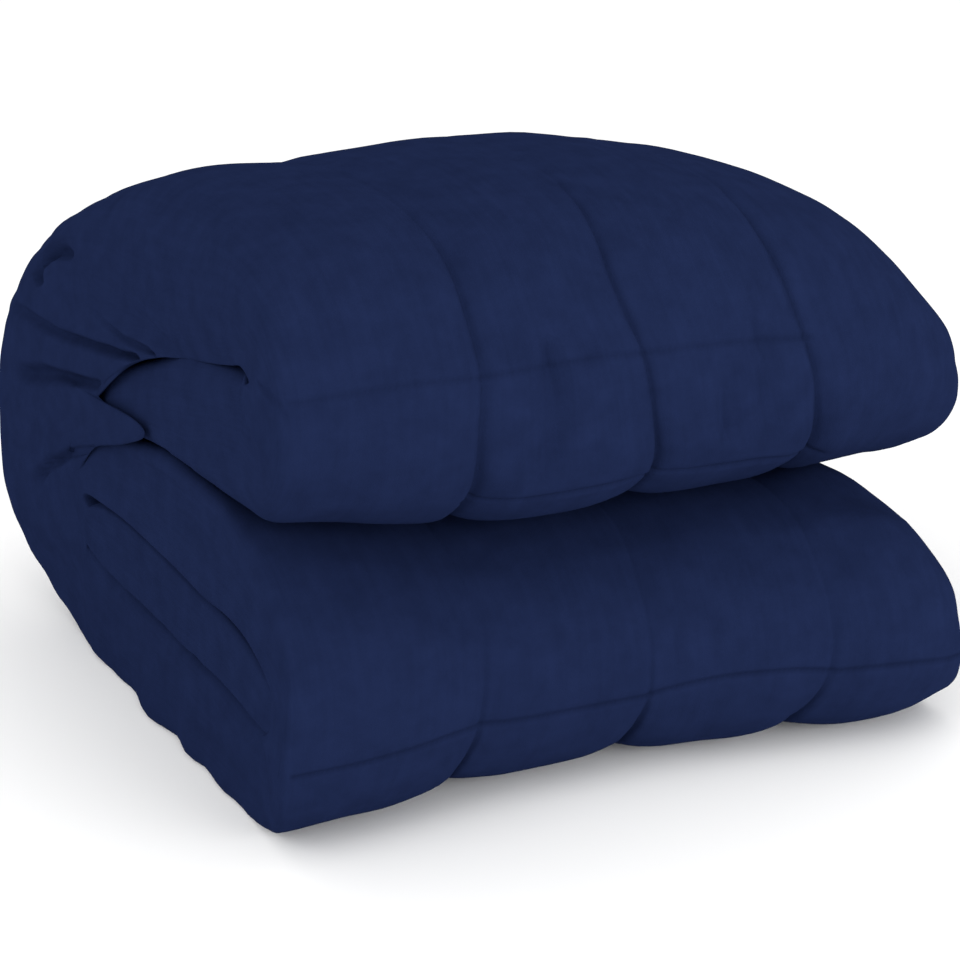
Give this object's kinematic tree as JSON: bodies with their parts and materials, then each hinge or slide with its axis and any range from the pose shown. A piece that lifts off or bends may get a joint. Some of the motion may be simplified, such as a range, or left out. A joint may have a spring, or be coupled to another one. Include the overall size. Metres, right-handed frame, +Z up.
{
  "type": "weighted blanket",
  "caption": "Quilted weighted blanket folded back and forth into a thick soft stack, with puffy channels, rounded fronts and a full rounded back",
  "frame": {"origin": "on the resting surface, under the middle of the folded blanket's box", "axes": "+Z up, +Y from the open front of the fold to its rounded back, +X across the quilted channels to the right of someone who faces the open front"},
  "size_m": [0.5682, 0.5873, 0.4005],
  "materials": {
    "cloth": "matt brushed microfibre, dark navy"
  },
  "bodies": {
    "root": {"blanket": "cloth"}
  },
  "joints": []
}
